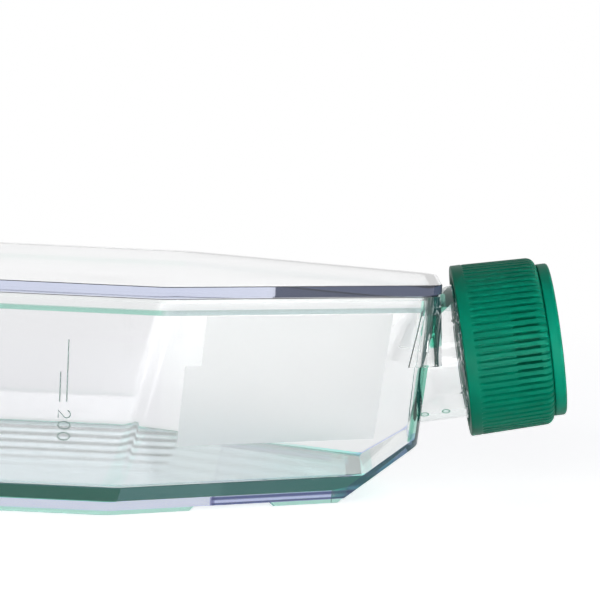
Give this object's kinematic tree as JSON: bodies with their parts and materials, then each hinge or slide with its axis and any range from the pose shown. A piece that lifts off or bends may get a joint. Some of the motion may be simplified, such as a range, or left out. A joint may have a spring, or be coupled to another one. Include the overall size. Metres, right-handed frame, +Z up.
{
  "type": "cell culture flask",
  "caption": "Clear flat cell culture flask with slanted shoulders, a ramp up to a canted neck, stacking feet and a ribbed green vented screw cap.",
  "frame": {"origin": "centre of the bottom of the flask's box, on the surface that its feet stand on", "axes": "+X along the flask towards its cap, +Z up with the flask lying on its broad floor"},
  "size_m": [0.2318, 0.113, 0.056],
  "materials": {
    "clear_plastic": "clear, smooth, with a frosted writing panel on one shoulder",
    "green_plastic": "satin",
    "pale_green_plastic": "satin",
    "white_film": "matte",
    "grey_seal": "matte"
  },
  "bodies": {
    "flask": {"body": "clear_plastic", "top_plate": "clear_plastic"},
    "cap_seal": {"seal_ring": "grey_seal", "vent_membrane": "white_film"},
    "cap": {"cap_shell": "green_plastic", "cap_disc": "pale_green_plastic"}
  },
  "joints": [
    {"name": "cap_lift", "type": "slide", "parent": "flask", "child": "cap_seal", "axis": [0.9848, 0, 0.1736], "range_m": [0, 0.0085]},
    {"name": "cap_turn", "type": "hinge", "parent": "cap_seal", "child": "cap", "pos_m": [0.0907, 0, 0.0336], "axis": [0.9848, 0, 0.1736], "range_deg": [0, 680]}
  ],
  "couplings": [
    {"joint": "cap_turn", "follows": "cap_lift", "rad_per_m": 1396.3}
  ]
}
